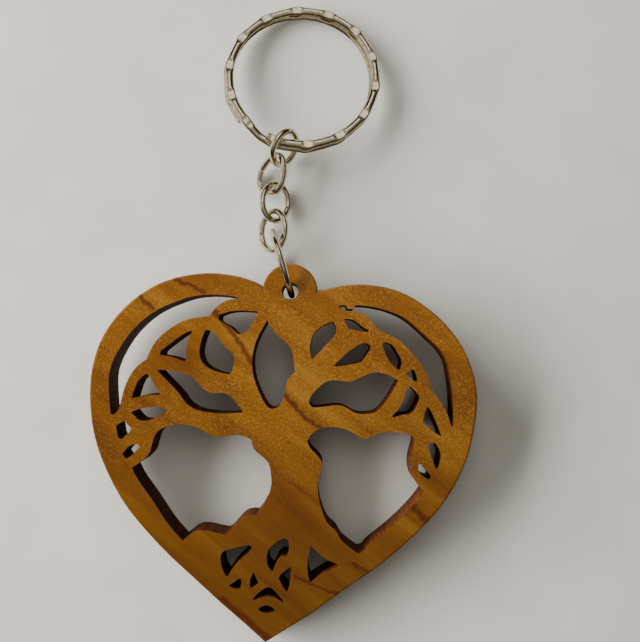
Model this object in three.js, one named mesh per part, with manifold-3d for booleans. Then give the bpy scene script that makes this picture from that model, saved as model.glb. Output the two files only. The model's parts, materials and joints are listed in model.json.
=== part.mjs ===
// A keychain: a fret-cut wooden heart hung from a jump ring, three oval links, a ring link and a
// two-coil split ring. Lengths are in millimetres and +Z is up. The keychain lies on its back, the
// heart's point towards -Y and the split ring towards +Y.
import * as THREE from 'three';
import { mergeVertices } from 'three/addons/utils/BufferGeometryUtils.js';
import Module from 'manifold-3d';

const wasm = await Module();
wasm.setup();

// ---------------------------------------------------------------- driving sizes

// the heart
const heartWidth = 57.15;
const heartDrop = 51.35; // from the hanging hole's centre to the point
const boardThickness = 5;
const tabRadius = 4.1;
const hangHoleDiameter = 2.5;
const edgeRound = 0.4;

// the metal
const wireDiameter = 1;
const jumpRingRadius = 5.05; // to the middle of the wire, as every radius and half length below
const linkHalfLength = 3.12;
const linkHalfWidth = 2.43;
const ringLinkHalfLength = 2.75;
const ringLinkHalfWidth = 2.6;
const splitRingRadius = 11.75;
const bandWidth = 1.35;
const coilThickness = 0.92;

// how the pieces sit together
const gap = 0.34; // between two wires, or a wire and the wood, that hang on each other
const coilGap = 0.12; // between the split ring's two coils
const seam = 0.25; // the cut in each bent wire
const crimps = 14; // around one turn of the split ring
const crimpDepth = 0.08;
const firstCrimp = 8.9; // degrees past the upper coil's end

// mesh fineness
const splineSteps = 2; // per outline point
const wireSides = 10;
const loopSteps = 34;
const coilSteps = 112;

const degree = Math.PI / 180;

// ---------------------------------------------------------------- materials

function wood() {
  return new THREE.MeshStandardMaterial({ color: '#a56c2c', roughness: 0.42, metalness: 0 });
}

function nickel() {
  return new THREE.MeshStandardMaterial({ color: '#c3bcae', roughness: 0.28, metalness: 1 });
}

// ---------------------------------------------------------------- shared helpers

// A shape from runs of points. A smooth spline follows each run, and two runs meet at a corner.
function outline(runs) {
  const start = runs[0][0];
  const shape = new THREE.Shape();
  shape.moveTo(start[0], start[1]);
  runs.forEach((run, index) => {
    const points = index === 0 ? run.slice(1) : run.slice();
    if (index === runs.length - 1) points.push(start);
    if (points.length === 1) shape.lineTo(points[0][0], points[0][1]);
    else if (points.length > 1) shape.splineThru(points.map(([x, y]) => new THREE.Vector2(x, y)));
  });
  return shape;
}

function solidFrom(geometry) {
  const bare = geometry.clone();
  bare.deleteAttribute('normal');
  bare.deleteAttribute('uv');
  const merged = mergeVertices(bare, 1e-4);
  return new wasm.Manifold(new wasm.Mesh({
    numProp: 3,
    vertProperties: Float32Array.from(merged.attributes.position.array),
    triVerts: Uint32Array.from(merged.index.array),
  }));
}

function geometryFrom(solid) {
  const { vertProperties, triVerts } = solid.getMesh();
  const geometry = new THREE.BufferGeometry();
  geometry.setAttribute('position', new THREE.BufferAttribute(vertProperties, 3));
  geometry.setIndex(new THREE.BufferAttribute(triVerts, 1));
  return geometry;
}

function piece(name, geometry, material) {
  const mesh = new THREE.Mesh(geometry, material);
  mesh.name = name;
  return mesh;
}

// ---------------------------------------------------------------- the heart

// Outlines are drawn for these two sizes, from the hanging hole's centre, and stretched to the
// driving ones.
const drawnWidth = 57.15;
const drawnDrop = 51.35;

function stretched(runs) {
  const across = heartWidth / drawnWidth;
  const along = heartDrop / drawnDrop;
  return runs.map((run) => run.map(([x, y]) => [x * across, y * along]));
}

const heartEdge = [
  [[0.1, -51.35], [-3, -48.95], [-7, -46], [-11, -42.85], [-15, -39.75], [-19, -36.1], [-22, -32.9],
    [-24.5, -29.2], [-26.5, -25.3], [-27.7, -21.7], [-28.35, -18], [-28.5, -15], [-28.25, -12.3],
    [-27.6, -9.6], [-26.4, -7], [-25, -4.95], [-23, -2.75], [-20.5, -0.8], [-18, 0.5],
    [-15, 1.42], [-11.5, 1.92], [-8, 1.7], [-6, 1.25], [-4.9, 0.9], [-4.1, 0.4], [-3.4, -0.6]],
  [[3.4, -0.6]],
  [[4.1, 0.42], [4.9, 0.55], [6, 0.93], [8, 1.45], [10, 1.73], [12, 1.75], [14, 1.6],
    [16, 1.15], [18, 0.42], [20, -0.73], [22, -2.1], [24, -3.96], [26, -6.45], [27.3, -8.9],
    [28.2, -11.4], [28.65, -14], [28.6, -17], [28.15, -20.6], [27.4, -23.7], [26.2, -26.6],
    [24.5, -29.7], [22, -33], [19, -36.2], [15.5, -39.5], [11, -43], [7, -46.35], [3, -49.25]],
];

// The tree is the wood that is left between these cuts: first the two crescents under the rim, then
// the leaves from left to right, the windows beside the trunk and the gaps between the roots.
const cutOuts = [
  [ // left crescent
    [[-7.7, -1.45], [-9.5, -1.3], [-12, -1.37], [-14.5, -1.85], [-17, -2.9], [-19, -3.95],
      [-21, -5.45], [-23, -7.7], [-24.3, -9.9], [-25.3, -12.2], [-25.7, -14.3], [-25.5, -16.8],
      [-25, -19.9]],
    [[-24.55, -20], [-24.1, -19.5], [-23.75, -18.6], [-23.5, -17], [-23, -15], [-22.1, -13.2],
      [-21.1, -12.1], [-20.4, -11.6]],
    [[-20.1, -10.7], [-19.4, -9.1], [-18.1, -7.5], [-16.3, -6.05], [-14.5, -5.15], [-12.8, -4.78],
      [-11.6, -4.6]],
    [[-11.1, -3.7], [-10.4, -2.85], [-9.2, -2.05], [-7.8, -1.7]],
  ],
  [ // right crescent, with the saw's small nib left at its upper end
    [[7.2, -1.7], [8.3, -1.48]],
    [[8.6, -2.02]],
    [[9.5, -2.05]],
    [[9.8, -1.45]],
    [[11.4, -1.4], [13.2, -1.6], [15, -1.98], [17, -2.7], [19, -4.03], [21, -5.65], [22.6, -7],
      [23.8, -8.6], [24.4, -10.6], [24.9, -13], [25.2, -16], [25.2, -18.5]],
    [[24.8, -17.6], [24.3, -16.3], [23.4, -14.9], [22.2, -13.6], [21.6, -12.7]],
    [[21.1, -11.2], [20.3, -9.8], [18.9, -8.25], [17.2, -6.6], [15.3, -5.5], [13.45, -4.85]],
    [[12.5, -3.8], [11.3, -2.85], [9.9, -2.4], [8.3, -2.35]],
  ],
  [
    [[-24.05, -21.6], [-23.4, -21.05], [-22.8, -20.85], [-22.3, -21.4], [-21.8, -21.9],
      [-22.4, -22.75], [-23.1, -23.45], [-23.7, -23.05]],
  ],
  [
    [[-22.8, -25.55], [-21.9, -24.4], [-20.9, -24], [-20.4, -24.4], [-21, -25.2], [-21.95, -26.2],
      [-22.5, -26]],
  ],
  [
    [[-21.95, -19.4], [-21, -18.95], [-19, -18.43], [-17.3, -18.5], [-16.8, -18.8],
      [-17.6, -19.45], [-18.8, -20.2], [-20, -20.6], [-21, -20.35]],
  ],
  [
    [[-20.15, -13.6]],
    [[-19.7, -14.1], [-18.2, -16.15], [-18, -16.6]],
    [[-20, -16.83], [-22.1, -17.4]],
    [[-21.5, -15.05], [-20.7, -14.05]],
  ],
  [
    [[-18.7, -13], [-17, -12.93], [-14.8, -13.2], [-13.2, -13.8], [-11.9, -15.1], [-10.5, -15.8],
      [-8.5, -15.65], [-7.3, -16.35], [-6.2, -17.5], [-5.55, -18.3]],
    [[-7.5, -18.62], [-10, -18.73], [-12.3, -18.45], [-13.9, -17.7], [-15, -16.4],
      [-16.2, -15.25], [-17.6, -14]],
  ],
  [
    [[-13.95, -6.85], [-15, -7.3], [-16.5, -8.5], [-18.4, -10.2]],
    [[-18.45, -10.75]],
    [[-16.8, -10.9], [-15.4, -11.3], [-14.9, -11.45]],
    [[-14.5, -11.1], [-14.6, -9.5], [-14.35, -8]],
  ],
  [
    [[-12.1, -6.8], [-11.6, -6.6], [-10.5, -7.15], [-9.8, -7.95], [-9.2, -8.75], [-8.3, -9.4],
      [-7.65, -10.1], [-7.45, -11], [-7.65, -12.2], [-7.95, -12.9]],
    [[-9.3, -12.75], [-11, -12.25], [-12.2, -11.3], [-12.7, -9.9], [-12.5, -8.1]],
  ],
  [
    [[-10.2, -4.3], [-9.3, -3.85], [-7.5, -3.43], [-4.6, -3.36]],
    [[-4.4, -3.65], [-5, -4.45], [-5.4, -5.65], [-6.1, -6.55], [-7, -6.9]],
    [[-7.5, -6.7], [-8.6, -5.75], [-10.1, -5.05]],
  ],
  [
    [[-3, -4.55], [-2.4, -5.6], [-1, -6.95], [0.1, -7.75], [0.8, -8.6], [1.2, -9.9],
      [1.55, -11.8]],
    [[0.7, -12.9], [0.45, -13.9], [0.3, -15.4], [-0.3, -16.85], [-1.3, -17.5], [-2.3, -17],
      [-3.5, -15.1], [-4.5, -12.8], [-4.85, -10.4], [-4.55, -8.1], [-3.7, -5.9]],
  ],
  [
    [[6.6, -4.05], [7.1, -4.7], [7.15, -5.9], [6.2, -7.1], [5.2, -8.4], [4.05, -9.75]],
    [[3.75, -9.4], [3.5, -7.9], [3.8, -6.3], [4.6, -5.25], [5.7, -4.45]],
  ],
  [
    [[8.25, -3.6], [9, -3.5], [9.9, -3.75], [11, -4.5], [12, -5.05]],
    [[11.6, -5.28], [10, -5.12], [9, -4.95]],
    [[8.6, -4.3]],
  ],
  [
    [[7.2, -10.5], [7.5, -10.63], [9.2, -10.3], [11.1, -9.75]],
    [[11.7, -9], [12.4, -7.7], [12.3, -7.1], [11.5, -6.92], [10.2, -7.5], [8.7, -8.85]],
  ],
  [
    [[14.1, -6.95], [14.4, -6.55], [15.6, -6.9], [16.4, -7.9], [17.1, -9], [17.1, -10.1],
      [16.75, -10.45], [15.7, -9.75], [14.8, -8.5]],
  ],
  [
    [[18.9, -10.25], [19.25, -10.7], [19.6, -11.75], [19.4, -12], [18.7, -11.65], [17.95, -11],
      [18.4, -10.55]],
  ],
  [
    [[4, -16.35], [4.6, -16.85], [6.1, -16.65], [8, -16.3], [9.3, -16.45], [10.8, -17.2],
      [12.4, -17.28], [14, -16.8], [15.3, -15.2], [16.2, -13.5], [16.9, -12]],
    [[16, -11.6], [14.6, -11.15], [13, -11.15], [11.4, -11.85], [9.8, -12.7], [7.6, -12.65],
      [6.3, -12.95], [5, -14.1], [4.05, -15.5]],
  ],
  [
    [[18.6, -12.8], [19.4, -13.4], [20.15, -14.3], [19.9, -15.3], [19.3, -16.4], [18.7, -16.85]],
    [[17.6, -17.05], [16.5, -17.5]],
    [[16.3, -17.2], [17.1, -16.25], [17.9, -14.2], [18.1, -13.1]],
  ],
  [
    [[21.35, -15.6], [21.8, -16], [22.8, -17.75], [23.7, -19.8]],
    [[23, -19.4], [21.5, -18.5], [20.85, -17.8], [21.05, -16.4]],
  ],
  [
    [[22.75, -20.7], [22.1, -20.8], [21.8, -21.5], [22.4, -22.8], [23.1, -24.35], [23.5, -24.2],
      [23.8, -22.7], [23.4, -21.5]],
  ],
  [
    [[20.6, -24.1], [21, -23.95], [21.7, -24.75], [22.5, -25.65], [22.2, -26.1], [21.2, -25.6],
      [20.65, -24.9]],
  ],
  [ // left window
    [[-21.2, -27.6], [-20.2, -29.2], [-18, -31.8], [-16, -34.4], [-14.5, -36.1], [-13, -37.5]],
    [[-12.3, -36.9], [-11.3, -36.05], [-9.8, -35.8], [-7.2, -36.15], [-6.3, -35.85],
      [-5.4, -34.65], [-4.4, -33.5], [-3.4, -33.13], [-2.5, -33.1]],
    [[-1.9, -32.2], [-1.1, -30.5], [-0.7, -28.7], [-0.85, -27], [-1.4, -25.3], [-2.8, -24.2],
      [-3.7, -23.4], [-4, -22.3]],
    [[-5, -21.8], [-6.5, -21.65], [-8.5, -22.1], [-10.2, -21.9], [-12, -21.05], [-14, -20.67],
      [-16, -20.95], [-17.5, -21.6], [-18.25, -22.6], [-18.6, -24], [-18.85, -25.2],
      [-19.8, -26.4], [-21.1, -27.4]],
  ],
  [ // right window
    [[4.1, -21.8], [4.6, -22.8], [5.6, -23.7], [6.35, -24.5], [6.55, -25.5], [6.05, -27.2],
      [6.15, -28.9], [6.6, -30.7], [7.2, -32.3], [8, -33.6], [9.2, -34.5], [10, -35.7],
      [11.2, -36.65], [12.6, -37.5]],
    [[13.35, -37.3], [14.1, -36.3], [16.2, -34.4], [18.2, -32.4], [20, -30.3], [21.2, -28.6],
      [21.65, -27.8]],
    [[20.6, -26.9], [19.7, -25.6], [19.4, -24], [19.6, -22.2], [19.85, -21], [19.5, -20.1],
      [18.6, -19.72], [16.8, -19.6], [15, -19.78], [13.8, -20.3], [12.5, -20.9], [11, -20.3],
      [9.6, -19.72], [7.8, -19.5], [6.2, -19.75], [4.8, -20.6]],
  ],
  [
    [[-7.3, -39.6], [-7.2, -39], [-6.7, -38.5], [-5, -37.9], [-3.4, -37.45], [-2.88, -37.85],
      [-3.2, -38.5], [-4.4, -39.7], [-5.5, -41.1], [-6.05, -42.2]],
    [[-6.5, -41.9], [-7.1, -40.6]],
  ],
  [
    [[0.4, -41], [-0.3, -40.3], [-0.6, -38.9], [-0.2, -37.6], [0.8, -36.65], [1.8, -36.1],
      [2.35, -36.4], [2.55, -37.8], [2.3, -38.7]],
    [[1.6, -38.75], [0.95, -39.5]],
  ],
  [
    [[5.75, -36.85], [6.2, -37.35], [7.4, -38.3], [8.6, -38.9], [9.6, -39.2], [9.8, -39.65],
      [9, -40.2], [7.6, -40.9], [6, -42.15]],
    [[5.6, -41.1], [5.4, -39.5], [5.5, -38.2]],
  ],
  [
    [[-5.8, -43.5], [-5.1, -42.95], [-4.4, -42.4], [-4.05, -42.6], [-4.05, -43.8]],
    [[-4.9, -43.85]],
  ],
  [
    [[-2.35, -41.35], [-1.9, -42.1], [-1.45, -42.8]],
    [[-2, -43.25], [-2.6, -43.6]],
    [[-2.8, -42.8], [-2.6, -41.9]],
  ],
  [
    [[3.05, -40.15], [3.05, -41.5], [2.95, -43.1], [2.65, -43.8]],
    [[2, -43], [1.4, -42]],
    [[1.55, -41.45], [2.2, -40.75]],
  ],
  [
    [[-2.15, -45.15], [-1.6, -44.4], [-0.6, -43.55], [0, -43.3], [0.6, -43.5], [1.5, -44.3],
      [2.25, -45.05]],
    [[2.15, -45.3], [1.2, -44.8], [0, -44.6], [-1.1, -44.85], [-1.95, -45.3]],
  ],
  [
    [[-1.25, -46.55], [-0.8, -46.1], [0, -45.9], [0.7, -46.15], [1.3, -46.6], [0.6, -46.93],
      [-0.6, -46.97]],
  ],
];

// The board lies around the plane Z = 0 with the hanging hole's axis on the Z axis.
function heartGeometry() {
  const rounded = {
    depth: boardThickness - 2 * edgeRound,
    bevelThickness: edgeRound,
    bevelSize: edgeRound,
    bevelOffset: -edgeRound,
    bevelSegments: 2,
  };
  const tabCircle = new THREE.Shape().absarc(0, 0, tabRadius, 0, 2 * Math.PI);
  const lobes = new THREE.ExtrudeGeometry(
    outline(stretched(heartEdge)),
    { ...rounded, curveSegments: splineSteps },
  );
  const tab = new THREE.ExtrudeGeometry(tabCircle, { ...rounded, curveSegments: 24 });
  lobes.translate(0, 0, edgeRound - boardThickness / 2);
  tab.translate(0, 0, edgeRound - boardThickness / 2);

  const cutDepth = boardThickness + 2;
  const fretwork = new THREE.ExtrudeGeometry(
    cutOuts.map((runs) => outline(stretched(runs))),
    { depth: cutDepth, bevelEnabled: false, curveSegments: splineSteps },
  );
  fretwork.translate(0, 0, -cutDepth / 2);
  const drill = new THREE.CylinderGeometry(
    hangHoleDiameter / 2, hangHoleDiameter / 2, cutDepth, 28,
  );
  drill.rotateX(Math.PI / 2);

  const board = solidFrom(lobes).add(solidFrom(tab));
  return geometryFrom(board.subtract(solidFrom(fretwork)).subtract(solidFrom(drill)));
}

// ---------------------------------------------------------------- wire loops

// An oval of wire in the XY plane, long along Y and narrowed at its +Y end by its taper. It is open
// at the seam, an angle from +X.
class LoopPath extends THREE.Curve {
  constructor({ halfLength, halfWidth, taper = 0, seamAt = 0 }) {
    super();
    this.halfLength = halfLength;
    this.halfWidth = halfWidth;
    this.taper = taper;
    const seamAngle = seam / Math.max(halfLength, halfWidth);
    this.start = seamAt * degree + seamAngle / 2;
    this.sweep = 2 * Math.PI - seamAngle;
  }

  getPoint(t, target = new THREE.Vector3()) {
    const angle = this.start + t * this.sweep;
    const width = this.halfWidth * (1 - this.taper * Math.sin(angle));
    return target.set(width * Math.cos(angle), this.halfLength * Math.sin(angle), 0);
  }
}

function wireLoop(size) {
  const section = new THREE.Shape().absarc(0, 0, wireDiameter / 2, 0, 2 * Math.PI);
  return new THREE.ExtrudeGeometry(section, {
    extrudePath: new LoopPath(size),
    steps: loopSteps,
    curveSegments: wireSides / 2,
  });
}

// ---------------------------------------------------------------- the split ring

// Two turns of band, one on the other, around the Z axis. The band steps down from the upper coil to
// the lower one just before the upper coil's free end, and its edge is crimped all round.
class CoilPath extends THREE.Curve {
  constructor() {
    super();
    this.stepAngle = 20 * degree;
    this.endAngle = 2 * degree;
    this.sweep = 4 * Math.PI - this.stepAngle - 2 * this.endAngle;
  }

  getPoint(t, target = new THREE.Vector3()) {
    const angle = this.endAngle + t * this.sweep;
    const stepStart = 2 * Math.PI - this.stepAngle;
    const drop = THREE.MathUtils.smootherstep(angle, stepStart, 2 * Math.PI);
    const fromCrimp = angle - firstCrimp * degree;
    const radius = splitRingRadius + crimpDepth * Math.cos(crimps * fromCrimp);
    const height = (0.5 - drop) * (coilThickness + coilGap);
    return target.set(radius * Math.cos(angle), radius * Math.sin(angle), height);
  }
}

function splitRingGeometry() {
  const halfThickness = coilThickness / 2;
  const halfWidth = bandWidth / 2;
  const corner = 0.28 * coilThickness;
  const section = new THREE.Shape([
    new THREE.Vector2(halfThickness - corner, -halfWidth),
    new THREE.Vector2(halfThickness, corner - halfWidth),
    new THREE.Vector2(halfThickness, halfWidth - corner),
    new THREE.Vector2(halfThickness - corner, halfWidth),
    new THREE.Vector2(corner - halfThickness, halfWidth),
    new THREE.Vector2(-halfThickness, halfWidth - corner),
    new THREE.Vector2(-halfThickness, corner - halfWidth),
    new THREE.Vector2(corner - halfThickness, -halfWidth),
  ]);
  return new THREE.ExtrudeGeometry(section, {
    extrudePath: new CoilPath(),
    steps: coilSteps,
    curveSegments: 1,
  });
}

// ---------------------------------------------------------------- how the pieces lie

// Each loop's turn is a heading about Z, then a pitch about its own X, then a roll about its long
// axis, in degrees. Neighbouring links roll opposite ways, as links do on a table, and hang aside of
// the middle of the loop before them.
const jumpRingHeading = 21;
const hookAngle = 44; // where the first link hangs, below the jump ring's far side
const oval = { halfLength: linkHalfLength, halfWidth: linkHalfWidth };
const wideOval = { halfLength: ringLinkHalfLength, halfWidth: ringLinkHalfWidth };
const chain = [
  {
    name: 'chain_link_lower', ...oval, seamAt: 185, heading: 4.6, pitch: -1.7, roll: -37.7, aside: -0.76,
  },
  {
    name: 'chain_link_middle', ...oval, seamAt: 5, heading: -10.3, pitch: -14.9, roll: 37.7, aside: -0.29,
  },
  {
    name: 'chain_link_upper',
    ...oval,
    taper: 0.23,
    seamAt: 185,
    heading: -19.1,
    pitch: 20.5,
    roll: -33.2,
    aside: -1.96,
  },
  {
    name: 'ring_link', ...wideOval, seamAt: 60, heading: -26.3, pitch: 6.4, roll: 62.5, aside: 0,
  },
];
const splitRingHeading = -8; // from the ring link towards the split ring's centre, from +Y
const splitRingSeam = 246; // the heading of the upper coil's end, from +X

function turnOf({ heading, pitch, roll }) {
  return new THREE.Euler(pitch * degree, roll * degree, heading * degree, 'ZXY');
}

function direction(heading, elevation = 0) {
  const level = Math.cos(elevation * degree);
  return new THREE.Vector3(
    -Math.sin(heading * degree) * level,
    Math.cos(heading * degree) * level,
    Math.sin(elevation * degree),
  );
}

// The jump ring stands on the table, and the hole's axis is as high as the ring's centre, so the
// heart leans from the ring down to its point.
const jumpRingHeight = jumpRingRadius + wireDiameter / 2;
const heartLean = Math.asin((jumpRingHeight - boardThickness / 2) / heartDrop);

function addHeart(keychain) {
  const heart = piece('heart_pendant', heartGeometry(), wood());
  heart.position.set(0, 0, jumpRingHeight);
  heart.rotation.x = heartLean;
  keychain.add(heart);
}

// The ring's wire bows inside the hole, which is straight and leans, and clears both its sides.
function addJumpRing(keychain) {
  const halfBoard = boardThickness / 2;
  const bow = jumpRingRadius - Math.sqrt(jumpRingRadius ** 2 - halfBoard ** 2);
  const reach = jumpRingRadius - bow / 2 - halfBoard * Math.sin(heartLean);
  const size = { halfLength: jumpRingRadius, halfWidth: jumpRingRadius, seamAt: 105 };
  const ring = piece('jump_ring', wireLoop(size), nickel());
  ring.position.copy(direction(jumpRingHeading)).multiplyScalar(reach);
  ring.position.z = jumpRingHeight;
  ring.rotation.copy(turnOf({ heading: jumpRingHeading, pitch: 0, roll: 90 }));
  keychain.add(ring);
  return ring.position;
}

// Every link hooks the loop before it, with the gap between the two wires.
function addChain(keychain, jumpRingCentre) {
  const hold = wireDiameter + gap;
  let end = direction(jumpRingHeading, -hookAngle)
    .multiplyScalar(jumpRingRadius - hold)
    .add(jumpRingCentre);
  let before = null;
  for (const link of chain) {
    const mesh = piece(link.name, wireLoop(link), nickel());
    mesh.rotation.copy(turnOf(link));
    const axis = new THREE.Vector3(0, 1, 0).applyEuler(mesh.rotation);
    if (before) end.addScaledVector(before.clone().add(axis).normalize(), -hold);
    end.x += link.aside;
    mesh.position.copy(end).addScaledVector(axis, link.halfLength);
    end = mesh.position.clone().addScaledVector(axis, link.halfLength);
    before = axis;
    keychain.add(mesh);
  }
  return { end, axis: before };
}

// The ring link holds both coils of the band, and the split ring's far side rests on the table.
function addSplitRing(keychain, { end, axis }) {
  const bandHeight = 2 * coilThickness + coilGap;
  const bandReach = Math.hypot(bandWidth / 2 + crimpDepth, bandHeight / 2);
  const band = end.clone().addScaledVector(axis, -(wireDiameter / 2 + gap + bandReach));
  const slope = Math.asin(
    (band.z - bandHeight / 2) / (2 * splitRingRadius + bandWidth / 2 + crimpDepth),
  );
  const ring = piece('split_ring', splitRingGeometry(), nickel());
  const group = new THREE.Group();
  group.position.copy(band);
  group.rotation.set(-slope, 0, splitRingHeading * degree, 'ZXY');
  ring.position.y = splitRingRadius;
  ring.rotation.z = (splitRingSeam - splitRingHeading) * degree;
  group.add(ring);
  keychain.add(group);
}

// ---------------------------------------------------------------- the keychain

// The origin is under the middle of the whole, on the table.
function standAtOrigin(keychain) {
  keychain.updateMatrixWorld(true);
  const box = new THREE.Box3().setFromObject(keychain, true);
  const middle = box.getCenter(new THREE.Vector3());
  keychain.position.set(-middle.x, -middle.y, -box.min.z);
}

const keychain = new THREE.Group();
addHeart(keychain);
const jumpRingCentre = addJumpRing(keychain);
addSplitRing(keychain, addChain(keychain, jumpRingCentre));
standAtOrigin(keychain);

export default keychain;
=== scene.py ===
# %% [markdown]
# # A keychain with a fret-cut wooden heart
#
# The keychain is a heart of olive wood, sawn into a tree of life. It hangs from a wire jump ring and four
# oval links, the last of them on a crimped split ring. The CAD model already has every piece at its size
# and place, so this lesson loads it as a fixed frame, gives each piece its fine surface and paints it.

# %% Load the frame
import json
import math

import bpy
import numpy as np
from mathutils import Matrix, Vector


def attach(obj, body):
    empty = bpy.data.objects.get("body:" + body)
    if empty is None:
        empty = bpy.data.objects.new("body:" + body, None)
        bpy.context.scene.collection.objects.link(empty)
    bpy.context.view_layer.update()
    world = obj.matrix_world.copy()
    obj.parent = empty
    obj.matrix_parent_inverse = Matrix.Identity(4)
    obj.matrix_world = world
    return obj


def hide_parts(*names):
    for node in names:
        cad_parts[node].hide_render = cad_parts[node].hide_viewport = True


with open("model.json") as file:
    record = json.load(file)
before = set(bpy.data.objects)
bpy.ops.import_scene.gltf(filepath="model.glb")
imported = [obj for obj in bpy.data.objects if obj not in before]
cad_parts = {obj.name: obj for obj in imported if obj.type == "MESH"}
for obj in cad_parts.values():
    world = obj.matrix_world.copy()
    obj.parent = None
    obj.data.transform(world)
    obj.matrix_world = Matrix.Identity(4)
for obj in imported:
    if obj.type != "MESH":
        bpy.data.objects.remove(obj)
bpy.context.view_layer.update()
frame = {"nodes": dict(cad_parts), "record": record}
MM = 0.001

# %% [markdown]
# ## The camera
#
# The keychain lies flat and is seen from almost straight above, from a hand's height. The camera could be
# turned by three angles, but it's easier to say where it stands and what it looks at. `to_track_quat`
# then does the turning.

# %% Camera
EYE = Vector((5.35, -12.48, 111.27)) * MM
AIM = Vector((4.6, -1.91, 3.0)) * MM
SENSOR = 36.0
LENS = 39.53

bpy.ops.object.camera_add(location=EYE)
camera = bpy.context.object
camera.rotation_euler = (AIM - EYE).to_track_quat("-Z", "Y").to_euler()
camera.data.sensor_width = SENSOR
camera.data.lens = LENS
camera.data.clip_start = 5 * MM
camera.data.dof.use_dof = False
bpy.context.scene.camera = camera
print("camera stands", round((EYE - AIM).length / MM, 1), "mm from what it looks at")

# %% [markdown]
# ## Small tools
#
# A CAD mesh is loose triangles: a copy of it is merged before it's worked on.


# %% Selecting and copying
def select_only(piece):
    bpy.ops.object.select_all(action="DESELECT")
    piece.select_set(True)
    bpy.context.view_layer.objects.active = piece


def merged_copy(node, name):
    """A copy of a CAD node with its doubled corners merged, left in edit mode with nothing selected."""
    piece = frame["nodes"][node].copy()
    piece.data = frame["nodes"][node].data.copy()
    piece.name = piece.data.name = name
    piece.parent = None
    for key in list(piece.keys()):
        del piece[key]
    piece.data.materials.clear()
    bpy.context.scene.collection.objects.link(piece)
    select_only(piece)
    if piece.data.has_custom_normals:
        bpy.ops.mesh.customdata_custom_splitnormals_clear()
    bpy.ops.object.mode_set(mode="EDIT")
    bpy.ops.mesh.select_all(action="SELECT")
    bpy.ops.mesh.remove_doubles(threshold=0.002 * MM)
    bpy.ops.mesh.select_all(action="DESELECT")
    return piece


def select_where(piece, kind, test):
    """Selects the edges or faces of the piece in edit mode that pass a test, and counts them."""
    bpy.ops.mesh.select_mode(type=kind)
    bpy.ops.mesh.select_all(action="DESELECT")
    bpy.ops.object.mode_set(mode="OBJECT")
    parts = piece.data.edges if kind == "EDGE" else piece.data.polygons
    chosen = [part for part in parts if test(part)]
    for part in chosen:
        part.select = True
    bpy.ops.object.mode_set(mode="EDIT")
    return len(chosen)


def finish_piece(piece, node, material):
    """Back to object mode: the piece rides where its CAD node rides and stands for it."""
    bpy.ops.object.mode_set(mode="OBJECT")
    piece.data.materials.append(material)
    body = next(b for b, nodes in frame["record"]["behaviour"]["bodies"].items() if node in nodes)
    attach(piece, body)
    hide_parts(node)
    print(piece.name, "has", len(piece.data.polygons), "faces and rides on", body)


# %% [markdown]
# ## Building materials
#
# Every material is a graph of nodes. One helper adds a node, sets its fields and plugs in its inputs, so
# each material below reads as a list of its layers. Colours are written as the hex values a painter would
# pick on screen, and turned to the linear values that light needs.


# %% Node helper and colours
def linear(hex_colour):
    values = [int(hex_colour[i:i + 2], 16) / 255 for i in (1, 3, 5)]
    return (*[v / 12.92 if v <= 0.04045 else ((v + 0.055) / 1.055) ** 2.4 for v in values], 1.0)


def new_material(name):
    material = bpy.data.materials.new(name)
    material.use_nodes = True
    material.node_tree.nodes.clear()
    return material, material.node_tree


def add(tree, kind, inputs=None, **settings):
    """A node of that kind. Inputs are by name or number: a value, or another node's socket to link."""
    node = tree.nodes.new("ShaderNode" + kind)
    for key, value in settings.items():
        setattr(node, key, value)
    for key, value in (inputs or {}).items():
        socket = node.inputs[key]
        if isinstance(value, bpy.types.NodeSocket):
            tree.links.new(value, socket)
        else:
            socket.default_value = value
    return node


def ramp(tree, factor, stops):
    """A colour ramp from stops of (position, colour)."""
    node = add(tree, "ValToRGB", {"Fac": factor})
    elements = node.color_ramp.elements
    while len(elements) < len(stops):
        elements.new(0.5)
    for element, (position, colour) in zip(elements, stops):
        element.position = position
        element.color = colour if len(colour) == 4 else (*colour, 1.0)
    return node.outputs["Color"]


def grey(value):
    return (value, value, value, 1.0)


def mix(tree, factor, a, b, blend="MIX"):
    """Two colours mixed; either may be a socket or a colour."""
    node = add(tree, "Mix", data_type="RGBA", blend_type=blend)
    for index, value in ((0, factor), (6, a), (7, b)):
        if isinstance(value, bpy.types.NodeSocket):
            tree.links.new(value, node.inputs[index])
        else:
            node.inputs[index].default_value = value
    return node.outputs[2]


# %% [markdown]
# ## Olive wood
#
# The board is a dense, oily fruit wood, sawn flat, sanded and oiled. That gives a golden brown with soft
# wavy bands along the grain, finer fibres in them, a few reddish-black veins, and a satin sheen. Curled
# grain catches the light in little bright flecks, and these are painted into the colour as highlights. The
# fret saw's heat left the cut walls dark brown. The painted flecks are densest toward the tab, and the board
# darkens toward its point. Every pattern reads the piece's own coordinates, turned so that one axis runs
# along the grain.

# %% Where the board lies
faces_up = [p for p in frame["nodes"]["heart_pendant"].data.polygons if p.normal.z > 0.99]
board_normal = max(faces_up, key=lambda p: p.area).normal.copy()
BOARD_LEAN = math.atan2(-board_normal.y, board_normal.z)
HOLE = Vector(frame["record"]["behaviour"]["joints"][0]["pos_m"])
print("board leans", round(math.degrees(BOARD_LEAN), 2), "degrees, hole at", [round(c / MM, 2) for c in HOLE])

# %% Olive wood
GRAIN_ANGLE = math.radians(-33)
RING_WIDTH = 3.0  # mm between growth bands, as the cut shows them
RING_RUN = 22.0  # mm along which a band keeps its tone
LINE_WIDTH = 0.9  # mm between the darker lines inside a band
FIBRE_WIDTH = 0.34  # mm; the real fibres are finer, and drawn as coarse as they show
CURL_WIDTH = 0.13  # mm between the ripples of curled grain
CURL_RUN = 0.26  # mm that a ripple runs across the grain
PATCH = 15.0  # mm, from a lighter patch to a darker one
CURL_TOP, CURL_FOOT = -20.0, -34.0  # heights in mm from the hole: all curl flecks and their painted glints above, hardly any below
DARK_TOP, DARK_FOOT = -4.0, -42.0  # heights in mm from the hole, between which the board darkens

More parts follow.
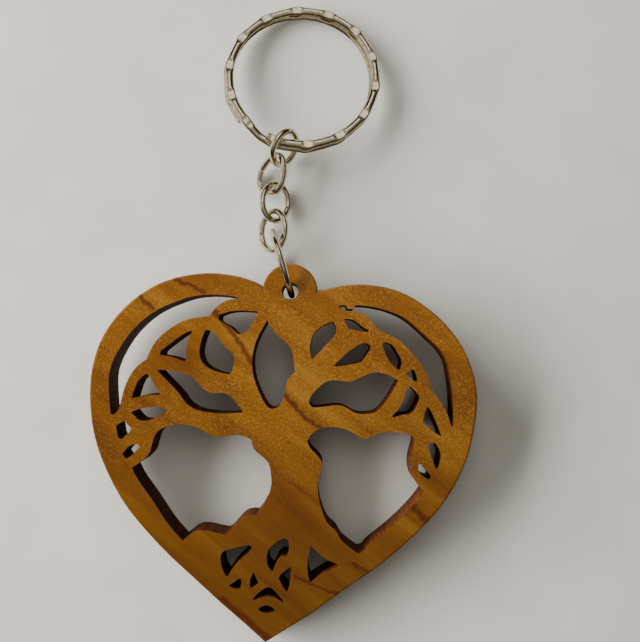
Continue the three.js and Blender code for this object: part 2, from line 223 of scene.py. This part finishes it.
# The dark veins, in mm on the board from the hole's centre: from x, y to x, y, then the width.
VEINS = [
    (-17.0, 0.5, -12.6, -0.9, 0.36),
    (-22.2, -2.2, -20.2, -4.0, 0.4),
    (-11.0, -3.6, -8.4, -6.2, 0.45),
    (-8.4, -6.2, -4.6, -11.2, 0.42),
    (0.4, -15.3, 3.6, -18.4, 0.32),
    (3.6, -18.4, 6.6, -20.2, 0.35),
    (20.2, -30.2, 22.8, -32.4, 0.6),
    (-6.5, -45.4, 0.8, -50.8, 0.55),
    (12.0, -39.0, 16.5, -41.0, 0.25),
    (3.6, -41.5, 10.5, -43.6, 0.2),
]


def vein(tree, place, start_x, start_y, end_x, end_y, width):
    """1 on a soft-edged stroke across the board, 0 away from it."""
    start, end = Vector((start_x, start_y, 0)), Vector((end_x, end_y, 0))
    run = end - start
    offset = add(tree, "VectorMath", {0: place, 1: start}, operation="SUBTRACT").outputs[0]
    along = add(tree, "VectorMath", {0: offset, 1: run / run.length_squared}, operation="DOT_PRODUCT")
    clamped = add(tree, "Clamp", {"Value": along.outputs["Value"]}).outputs[0]
    foot = add(tree, "VectorMath", {0: run, "Scale": clamped}, operation="SCALE").outputs[0]
    gap = add(tree, "VectorMath", {0: offset, 1: foot}, operation="DISTANCE").outputs["Value"]
    return add(
        tree, "MapRange", {"Value": gap, 1: width * 1.5, 2: width * 0.25, 3: 0.0, 4: 1.0},
        interpolation_type="SMOOTHSTEP",
    ).outputs[0]


def olive_wood():
    material, tree = new_material("olive wood, oiled")
    object_place = add(tree, "TexCoord").outputs["Object"]
    in_mm = (MM, MM, MM)
    board_place = add(
        tree, "Mapping",
        {"Vector": object_place, "Location": HOLE, "Rotation": (BOARD_LEAN, 0, 0), "Scale": in_mm},
        vector_type="TEXTURE",
    ).outputs[0]
    grain_place = add(
        tree, "Mapping", {"Vector": board_place, "Rotation": (0, 0, GRAIN_ANGLE)}, vector_type="TEXTURE",
    ).outputs[0]

    def pattern(along, across, detail=3.0, distortion=0.0, roughness=0.5):
        """Noise whose blobs are that many mm along and across the grain."""
        stretched = add(
            tree, "Mapping", {"Vector": grain_place, "Scale": (1 / along, 1 / across, 1 / across)},
            vector_type="POINT",
        ).outputs[0]
        noise = {"Vector": stretched, "Scale": 1.0, "Detail": detail, "Roughness": roughness,
                 "Distortion": distortion}
        return add(tree, "TexNoise", noise).outputs["Fac"]

    rings = pattern(RING_RUN, RING_WIDTH, detail=3.0, distortion=0.35)
    lines = pattern(RING_RUN, LINE_WIDTH, detail=2.0, distortion=0.2)
    patches = pattern(PATCH * 1.6, PATCH, detail=2.0, distortion=0.4)
    fibres = pattern(5.0, FIBRE_WIDTH, detail=2.0)
    curl = pattern(CURL_WIDTH, CURL_RUN, detail=3.0)
    curled_places = pattern(10.0, 8.0, detail=1.0)

    colour = ramp(tree, rings, [
        (0.25, linear("#6a3d0a")), (0.45, linear("#7b4c0d")), (0.58, linear("#875712")),
        (0.75, linear("#96681d")),
    ])
    patch_tone = ramp(tree, patches, [(0.32, linear("#c7a083")), (0.68, linear("#ffffff"))])
    colour = mix(tree, 0.6, colour, patch_tone, "MULTIPLY")
    line_tone = ramp(tree, lines, [(0.34, grey(0.6)), (0.46, grey(1.0))])
    colour = mix(tree, 0.3, colour, line_tone, "MULTIPLY")
    fibre_tone = ramp(tree, fibres, [(0.3, grey(0.7)), (0.62, grey(1.0))])
    colour = mix(tree, 0.3, colour, fibre_tone, "MULTIPLY")
    height_on_board = add(tree, "SeparateXYZ", {0: board_place}).outputs["Y"]
    # Painted highlight: where curled grain catches the light, its ripples are painted into the colour as
    # light gold flecks. The same pattern also gives the bump its relief.
    painted_curl_glint = ramp(tree, curl, [(0.5, grey(0.0)), (0.72, grey(1.0))])
    curled = ramp(tree, curled_places, [(0.3, grey(0.15)), (0.52, grey(1.0))])
    curly_end = add(
        tree, "MapRange", {"Value": height_on_board, 1: CURL_FOOT, 2: CURL_TOP, 3: 0.12, 4: 1.0},
    ).outputs[0]
    curl_relief_and_glints = mix(tree, 1.0, painted_curl_glint, curled, "MULTIPLY")
    curl_relief_and_glints = add(tree, "Math", {0: curl_relief_and_glints, 1: curly_end}, operation="MULTIPLY").outputs[0]
    painted_glint_share = add(tree, "Math", {0: curl_relief_and_glints, 1: 0.45}, operation="MULTIPLY").outputs[0]
    # The painted highlight goes into the colour here, mixed toward a light gold.
    colour = mix(tree, painted_glint_share, colour, linear("#cf9f4a"))
    darker = add(
        tree, "MapRange", {"Value": height_on_board, 1: DARK_TOP, 2: DARK_FOOT, 3: 0.0, 4: 0.5},
    ).outputs[0]
    colour = mix(tree, darker, colour, linear("#2c1402"))

    wobble = add(tree, "TexNoise", {"Vector": board_place, "Scale": 0.9, "Detail": 2.0}).outputs["Color"]
    shift = add(tree, "VectorMath", {0: wobble, 1: (0.5, 0.5, 0.5)}, operation="SUBTRACT").outputs[0]
    shift = add(tree, "VectorMath", {0: shift, 1: (1.1, 1.1, 0.0)}, operation="MULTIPLY").outputs[0]
    flat = add(tree, "VectorMath", {0: board_place, 1: (1.0, 1.0, 0.0)}, operation="MULTIPLY").outputs[0]
    vein_place = add(tree, "VectorMath", {0: flat, 1: shift}, operation="ADD").outputs[0]
    veins = None
    for stroke in VEINS:
        mask = vein(tree, vein_place, *stroke)
        if veins is None:
            veins = mask
        else:
            veins = add(tree, "Math", {0: veins, 1: mask}, operation="MAXIMUM").outputs[0]
    vein_share = add(tree, "Math", {0: veins, 1: 0.8}, operation="MULTIPLY").outputs[0]
    colour = mix(tree, vein_share, colour, linear("#451804"))

    sawn = add(tree, "Attribute", attribute_name="sawn").outputs["Fac"]
    saw_lines = add(tree, "Mapping", {"Vector": board_place, "Scale": (3.2, 3.2, 0.25)}).outputs[0]
    saw_marks = add(tree, "TexNoise", {"Vector": saw_lines, "Scale": 1.0, "Detail": 3.0}).outputs["Fac"]
    wall = ramp(tree, saw_marks, [(0.3, linear("#33160a")), (0.7, linear("#583115"))])
    colour = mix(tree, sawn, colour, wall)

    rough = ramp(tree, rings, [(0.3, grey(0.46)), (0.7, grey(0.36))])
    rough = mix(tree, sawn, rough, grey(0.9))
    shine = ramp(tree, sawn, [(0.0, grey(0.35)), (1.0, grey(0.08))])
    height = add(tree, "Math", {0: fibres, 1: 0.5}, operation="MULTIPLY").outputs[0]
    height = add(tree, "Math", {0: height, 1: curl_relief_and_glints}, operation="ADD").outputs[0]
    height = mix(tree, sawn, height, saw_marks)
    bump = add(tree, "Bump", {"Height": height, "Strength": 0.25, "Distance": 0.05 * MM}).outputs[0]
    shader = add(tree, "BsdfPrincipled", {
        "Base Color": colour, "Roughness": rough, "Normal": bump, "IOR": 1.5,
        "Specular IOR Level": shine, "Coat Weight": 0.06, "Coat Roughness": 0.25,
    })
    add(tree, "OutputMaterial", {"Surface": shader.outputs[0]})
    return material


WOOD = olive_wood()
print("olive wood has", len(WOOD.node_tree.nodes), "nodes")

# %% [markdown]
# ## Nickel plate
#
# The findings are steel wire and band with bright nickel plate, tumbled in a barrel with thousands of
# others. Nickel is a slightly warm grey metal; tumbling leaves it bright but gently uneven, with small
# dents, so its reflections waver.


# %% Nickel plate
def nickel_plate(name, dent, dent_depth, rough_low, rough_high):
    """Nickel-plated steel whose dents are that many mm wide and deep."""
    material, tree = new_material(name)
    object_place = add(tree, "TexCoord").outputs["Object"]
    dents = add(tree, "TexNoise", {
        "Vector": object_place, "Scale": 1 / (dent * MM), "Detail": 2.0, "Roughness": 0.5,
    }).outputs["Fac"]
    scuffs = add(tree, "TexNoise", {
        "Vector": object_place, "Scale": 1 / (0.5 * MM), "Detail": 4.0, "Roughness": 0.6,
    }).outputs["Fac"]
    tone = ramp(tree, scuffs, [(0.3, linear("#bdb395")), (0.65, linear("#e3dbc2"))])
    rough = ramp(tree, scuffs, [(0.35, grey(rough_high)), (0.65, grey(rough_low))])
    bump = add(tree, "Bump", {
        "Height": dents, "Strength": 1.0, "Distance": dent_depth * MM,
    }).outputs[0]
    shader = add(tree, "BsdfPrincipled", {
        "Base Color": tone, "Metallic": 1.0, "Roughness": rough, "Normal": bump,
    })
    add(tree, "OutputMaterial", {"Surface": shader.outputs[0]})
    return material


WIRE_METAL = nickel_plate("nickel-plated wire", 1.1, 0.03, 0.07, 0.15)
BAND_METAL = nickel_plate("nickel-plated band", 0.8, 0.012, 0.07, 0.15)

# %% [markdown]
# ## The heart
#
# The board's outline and all its cuts are right in the CAD solid, so the heart starts as a copy of it.
# Its flat faces come as slivers, which limited dissolve joins into wide faces. The outline's edge is
# already rounded in the solid. The arrises along the cuts, where sanding has broken the sharp edge between
# the faces and the sawn walls, get a narrow bevel. Smooth shading alone would bend the light over the wide
# faces too, so weighted normals hold them flat.

# %% Heart: clean faces
heart = merged_copy("heart_pendant", "heart_board")
bpy.ops.mesh.select_all(action="SELECT")
bpy.ops.mesh.dissolve_limited(angle_limit=math.radians(0.6))
bpy.ops.object.mode_set(mode="OBJECT")
print("heart has", len(heart.data.polygons), "faces after dissolving the slivers")
bpy.ops.object.mode_set(mode="EDIT")


# %% Heart: which walls are sawn
def flatness(polygon):
    return abs(polygon.normal.dot(board_normal))


def edge_faces(mesh):
    """The faces on each edge, by the edge's two corners."""
    faces = {}
    for polygon in mesh.polygons:
        for key in polygon.edge_keys:
            faces.setdefault(key, []).append(polygon.index)
    return faces


def wall_groups(mesh):
    """The upright walls as connected bands, the largest first, which is the outline's."""
    faces = edge_faces(mesh)
    upright = {p.index for p in mesh.polygons if flatness(p) < 0.97}
    group_of = {}
    for first in upright:
        if first in group_of:
            continue
        group_of[first] = first
        queue = [first]
        while queue:
            for key in mesh.polygons[queue.pop()].edge_keys:
                for other in faces[key]:
                    if other in upright and other not in group_of:
                        group_of[other] = first
                        queue.append(other)
    groups = {}
    for index, first in group_of.items():
        groups.setdefault(first, set()).add(index)
    return sorted(groups.values(), key=lambda g: -sum(mesh.polygons[i].area for i in g))


bpy.ops.object.mode_set(mode="OBJECT")
cuts = wall_groups(heart.data)[1:]
cut_faces = set().union(*cuts)
print("heart has", len(cuts), "cuts and holes inside its rim")
bpy.ops.object.mode_set(mode="EDIT")

# %% Heart: break the arrises
ARRIS = 0.1 * MM
heart_edges = edge_faces(heart.data)


def is_arris(edge):
    around = heart_edges[tuple(sorted(edge.vertices))]
    return len(around) == 2 and len(cut_faces.intersection(around)) == 1


count = select_where(heart, "EDGE", is_arris)
bpy.ops.mesh.bevel(offset=ARRIS, segments=2, profile=0.5, loop_slide=False, clamp_overlap=True)
print("heart has", count, "arris edges, now rounded")

# %% Heart: mark the sawn walls and smooth it
bpy.ops.object.mode_set(mode="OBJECT")
cut_faces = set().union(*wall_groups(heart.data)[1:])
sawn = heart.data.attributes.new("sawn", "FLOAT", "FACE")
for polygon in heart.data.polygons:
    sawn.data[polygon.index].value = float(polygon.index in cut_faces and flatness(polygon) < 0.6)
select_only(heart)
bpy.ops.object.shade_smooth_by_angle(angle=math.radians(38))
flat_faces = heart.modifiers.new("flat faces", "WEIGHTED_NORMAL")
flat_faces.keep_sharp = True
bpy.ops.object.modifier_apply(modifier=flat_faces.name)
bpy.ops.object.mode_set(mode="EDIT")
finish_piece(heart, "heart_pendant", WOOD)

# %% [markdown]
# ## The wire loops
#
# Each loop is bent from round wire and closed with a butt joint that never quite meets. The CAD loops are
# ten-sided; a subdivision surface makes them round. It would also melt the cut ends into points, so each
# end gets an inset face that holds its rim and nearly closes the joint, and the wire is fattened by what
# the smoothing takes off.

# %% Wire loops
WIRE = 1.0 * MM
SMOOTHING_LOSS = 0.066  # a ten-sided wire loses this share of its radius
END_RIM = 0.08 * MM  # how far an end's inset face lies in from its rim, and how far it stands out
LOOPS = ["jump_ring", "chain_link_lower", "chain_link_middle", "chain_link_upper", "ring_link"]


def round_wire(node):
    piece = merged_copy(node, node + "_wire")
    bpy.ops.mesh.select_all(action="SELECT")
    bpy.ops.mesh.tris_convert_to_quads(face_threshold=math.radians(40), shape_threshold=math.radians(60))
    bpy.ops.mesh.dissolve_limited(angle_limit=math.radians(1.0))
    bpy.ops.transform.shrink_fatten(value=WIRE / 2 * SMOOTHING_LOSS)
    ends = select_where(piece, "FACE", lambda face: len(face.vertices) > 5)
    bpy.ops.mesh.inset(thickness=END_RIM, depth=END_RIM)
    bpy.ops.object.mode_set(mode="OBJECT")
    subdivision = piece.modifiers.new("round", "SUBSURF")
    subdivision.levels = subdivision.render_levels = 2
    bpy.ops.object.modifier_apply(modifier=subdivision.name)
    bpy.ops.object.shade_smooth()
    corners = np.array([v.co for v in piece.data.vertices])
    across = corners @ np.linalg.eigh(np.cov(corners.T))[1][:, 0]
    print(piece.name, "has", ends, "cut ends and is", round(np.ptp(across) / MM, 3), "mm thick")
    finish_piece(piece, node, WIRE_METAL)


for node in LOOPS:
    round_wire(node)

# %% [markdown]
# ## The split ring
#
# A split ring is two turns of domed band, pressed between dies that pinch it at even steps. The band could
# be a curve with a bevel, but a spun section lets each pinch be shaped: an oval is spun through almost two
# turns, and then its corners are moved, which also makes the section a little more gabled than an oval.
# Between pinches the band's path is somewhat straighter than a circle, and at a pinch it is pressed flat
# on top and spreads a little. One turn lies on the other, a shade aside of it, and the band steps down
# just before it comes round to its own upper end.

# %% Split ring: its place
RING_RADIUS = 11.75 * MM
UPPER_END = 246  # degrees from +X to the upper coil's end
ring_points = np.array([v.co for v in frame["nodes"]["split_ring"].data.vertices])
spread = np.linalg.eigh(np.cov(ring_points.T))[1]
ring_axis = Vector(spread[:, 0])
if ring_axis.z < 0:
    ring_axis.negate()
ring_x = (Vector((1, 0, 0)) - ring_axis * ring_axis.x).normalized()
ring_y = ring_axis.cross(ring_x)
ring_turn = Matrix((ring_x, ring_y, ring_axis)).transposed()
in_ring = ring_points @ np.array(ring_turn)
ring_centre = ring_turn @ Vector((in_ring.min(0) + in_ring.max(0)) / 2)
print("split ring's centre in mm:", [round(c / MM, 2) for c in ring_centre])

# %% Split ring: spin the band
BAND_WIDTH = 1.35 * MM
COIL_THICKNESS = 0.92 * MM
COIL_GAP = 0.12 * MM
STEP_ANGLE = math.radians(20)  # over which the band steps down
END_ANGLE = math.radians(2)  # left free at each end
SWEEP = 4 * math.pi - STEP_ANGLE - 2 * END_ANGLE
BAND_STEPS = 560
SECTION_SIDES = 24

bpy.ops.object.select_all(action="DESELECT")
bpy.ops.mesh.primitive_circle_add(
    vertices=SECTION_SIDES, radius=0.5, fill_type="NOTHING", location=(RING_RADIUS, 0, 0),
    rotation=(math.pi / 2, 0, 0), enter_editmode=True,
)
ring = bpy.context.object
ring.name = ring.data.name = "split_ring_band"
bpy.ops.transform.resize(value=(BAND_WIDTH, 1, COIL_THICKNESS))
bpy.ops.object.mode_set(mode="OBJECT")
bpy.ops.object.transform_apply(location=True, rotation=True, scale=True)
bpy.ops.object.mode_set(mode="EDIT")
bpy.ops.mesh.select_all(action="SELECT")
bpy.ops.mesh.spin(steps=BAND_STEPS, angle=SWEEP, center=(0, 0, 0), axis=(0, 0, -1))
bpy.ops.object.mode_set(mode="OBJECT")
print("band has", len(ring.data.vertices), "corners")

# %% Split ring: pinch it, step it down and lay one turn on the other
CRIMPS = 14
FIRST_CRIMP = math.radians(8.9)  # past the upper end
CRIMP_DEPTH = 0.06 * MM  # how far the path lies outside its circle at a pinch, and inside it between two
PINCH_LENGTH = 2.2 * MM
PINCH_FLAT = 0.35  # in half lengths from its middle: fully pressed to here, faded out one half length on
PRESS = 0.22 * MM  # how deep a pinch is pressed
SPREAD = 0.1  # how much wider a pinch makes the band, as a share
DOME = 1.55  # 2 is an oval section, 1 a lozenge
SLIP = Vector((-0.3, -0.22)) * MM  # how far the lower turn lies aside of the upper
SLIP_IN_RING = Matrix.Rotation(math.radians(UPPER_END), 2).inverted() @ SLIP
END_BEVEL = 0.08 * MM


def smooth(t):
    t = min(max(t, 0.0), 1.0)
    return t * t * (3 - 2 * t)


def shaped(corner, angle):
    """Where a corner of the round, flat spin goes, at its angle along the band from the upper end."""
    flat = Vector((corner.x, corner.y))
    out = flat.normalized()
    aside, height = flat.length - RING_RADIUS, corner.z
    reach = abs(aside / BAND_WIDTH * 2) ** DOME + abs(height / COIL_THICKNESS * 2) ** DOME
    aside, height = aside * reach ** (-1 / DOME), height * reach ** (-1 / DOME)
    from_crimp = (angle - FIRST_CRIMP + math.pi / CRIMPS) % (2 * math.pi / CRIMPS) - math.pi / CRIMPS
    pinch = 1 - smooth(abs(from_crimp) * RING_RADIUS / (PINCH_LENGTH / 2) - PINCH_FLAT)
    radius = RING_RADIUS + CRIMP_DEPTH * (2 * (1 - abs(from_crimp) * CRIMPS / math.pi) ** 2 - 1)
    lower = smooth((angle - 2 * math.pi + STEP_ANGLE) / STEP_ANGLE)
    height = min(height, COIL_THICKNESS / 2 - PRESS * pinch)
    height += (0.5 - lower) * (COIL_THICKNESS + COIL_GAP)
    flat = out * (radius + aside * (1 + SPREAD * pinch)) + SLIP_IN_RING * lower
    return Vector((flat.x, flat.y, height))


for vertex in ring.data.vertices:
    step = vertex.index // SECTION_SIDES
    vertex.co = shaped(vertex.co, END_ANGLE + SWEEP * step / BAND_STEPS)

# %% Split ring: close its ends and put it in place
select_only(ring)
bpy.ops.object.mode_set(mode="EDIT")
bpy.ops.mesh.select_all(action="SELECT")
bpy.ops.mesh.fill_holes(sides=0)
bpy.ops.mesh.select_all(action="SELECT")
bpy.ops.mesh.normals_make_consistent(inside=False)
ends = select_where(ring, "FACE", lambda face: len(face.vertices) > 4)
bpy.ops.mesh.bevel(offset=END_BEVEL, segments=2, affect="EDGES")
bpy.ops.object.mode_set(mode="OBJECT")
start_turn = Matrix.Rotation(math.radians(UPPER_END), 4, "Z")
ring.matrix_world = Matrix.Translation(ring_centre) @ ring_turn.to_4x4() @ start_turn
bpy.ops.object.transform_apply(location=True, rotation=True, scale=True)
bpy.ops.object.shade_smooth_by_angle(angle=math.radians(35))
print("split ring has", ends, "ends, box in mm:", [round(c / MM, 2) for c in ring.dimensions])
finish_piece(ring, "split_ring", BAND_METAL)

# %% [markdown]
# ## The table
#
# The keychain lies on pale matt paper. The paper is stage, not part of the keychain.


# %% Paper
def paper():
    material, tree = new_material("pale matt paper")
    object_place = add(tree, "TexCoord").outputs["Object"]
    mottle = add(tree, "TexNoise", {"Vector": object_place, "Scale": 1 / (12 * MM), "Detail": 3.0})
    tone = ramp(tree, mottle.outputs["Fac"], [(0.3, linear("#d2d1cd")), (0.7, linear("#dad9d6"))])
    shader = add(tree, "BsdfPrincipled", {"Base Color": tone, "Roughness": 0.9})
    add(tree, "OutputMaterial", {"Surface": shader.outputs[0]})
    return material


bpy.ops.object.select_all(action="DESELECT")
bpy.ops.mesh.primitive_plane_add(size=2.0, location=(0, 0, 0))
floor = bpy.context.object
floor.name = "floor"
floor.data.materials.append(paper())
print("floor is", round(floor.dimensions.x / MM), "mm wide")

# %% [markdown]
# ## The light
#
# One low, wide window on the left lights the keychain, so shadows fall soft and long to the right. The
# metal would mirror that window as a glaring sheet, so the window is hidden from mirror rays, and a soft
# pane in the room on the same side stands in for it. The room's walls are dark, a little lighter down at
# the horizon, and its ceiling is bright, so the metal shows dark and bright bands. A second pane, high at
# the back, lights up the ring's pinches.

# %% Light
bpy.ops.object.light_add(type="AREA", location=(-0.5, 0.07, 0.2))
window = bpy.context.object
window.name = "window"
window.rotation_euler = (-window.location).to_track_quat("-Z", "Y").to_euler()
window.data.shape = "RECTANGLE"
window.data.size = 0.8
window.data.size_y = 0.28
window.data.energy = 12.6
window.data.color = linear("#fffdf6")[:3]
window.visible_glossy = False
print("window stands", round(window.location.length / MM), "mm from the keychain")

# %% Room
world = bpy.data.worlds.new("room")
world.use_nodes = True
bpy.context.scene.world = world
room = world.node_tree
direction = add(room, "TexCoord").outputs["Generated"]
upward = add(room, "SeparateXYZ", {0: direction}).outputs["Z"]
sky = ramp(room, upward, [
    (0.02, linear("#8f897c")), (0.14, linear("#2b2720")), (0.5, linear("#4b473f")), (0.78, linear("#8f897c")),
    (0.93, linear("#dcd8ce")),
])
# Each pane: which way it lies, the cosines at its edge and where its glow is full, how bright it is.
PANES = [
    ((-0.9, 0.15, 0.4), 0.86, 0.95, 1.3),
    ((-0.05, 0.6, 0.8), 0.9, 0.97, 1.8),
]
for pane_way, edge, full, glow in PANES:
    towards = add(room, "VectorMath", {0: direction, 1: pane_way}, operation="DOT_PRODUCT").outputs["Value"]
    pane = add(room, "MapRange", {"Value": towards, 1: edge, 2: full, 3: 0.0, 4: glow}).outputs[0]
    pane = add(room, "VectorMath", {0: (1.0, 0.97, 0.9), "Scale": pane}, operation="SCALE").outputs[0]
    sky = add(room, "VectorMath", {0: sky, 1: pane}, operation="ADD").outputs[0]
room.links.new(sky, room.nodes["Background"].inputs["Color"])
room.nodes["Background"].inputs["Strength"].default_value = 0.6
print("room has", len(PANES), "bright panes")
